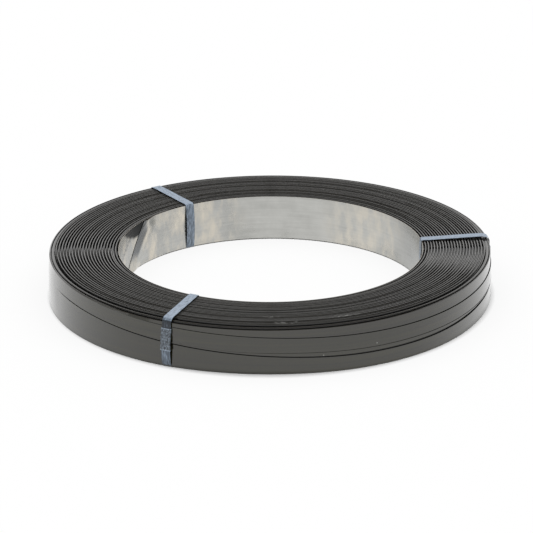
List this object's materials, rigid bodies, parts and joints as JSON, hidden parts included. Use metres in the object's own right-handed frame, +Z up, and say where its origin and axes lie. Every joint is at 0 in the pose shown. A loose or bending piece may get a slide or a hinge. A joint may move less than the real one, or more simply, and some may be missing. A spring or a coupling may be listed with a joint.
{
  "type": "steel strapping coil",
  "caption": "Flat coil of black steel strapping on a bare steel core liner, held wound by narrow sealed steel ties; the open bore goes over a dispenser hub.",
  "frame": {"origin": "on the coil's axis, on the floor that the ties rest on", "axes": "+Z up along the coil's axis, -Y towards the camera of the picture, +X to its right"},
  "size_m": [0.5929, 0.5886, 0.0646],
  "materials": {
    "black_strap": "semi-gloss black paint",
    "bare_liner": "bare, mottled",
    "tie_steel": "blued, satin",
    "seal_steel": "blued, satin"
  },
  "bodies": {
    "root": {"strap_coil": "black_strap", "core_liner": "bare_liner", "tie_front": "tie_steel", "tie_back": "tie_steel", "tie_right": "tie_steel", "seal_front": "seal_steel", "seal_back": "seal_steel", "seal_right": "seal_steel"}
  },
  "joints": []
}
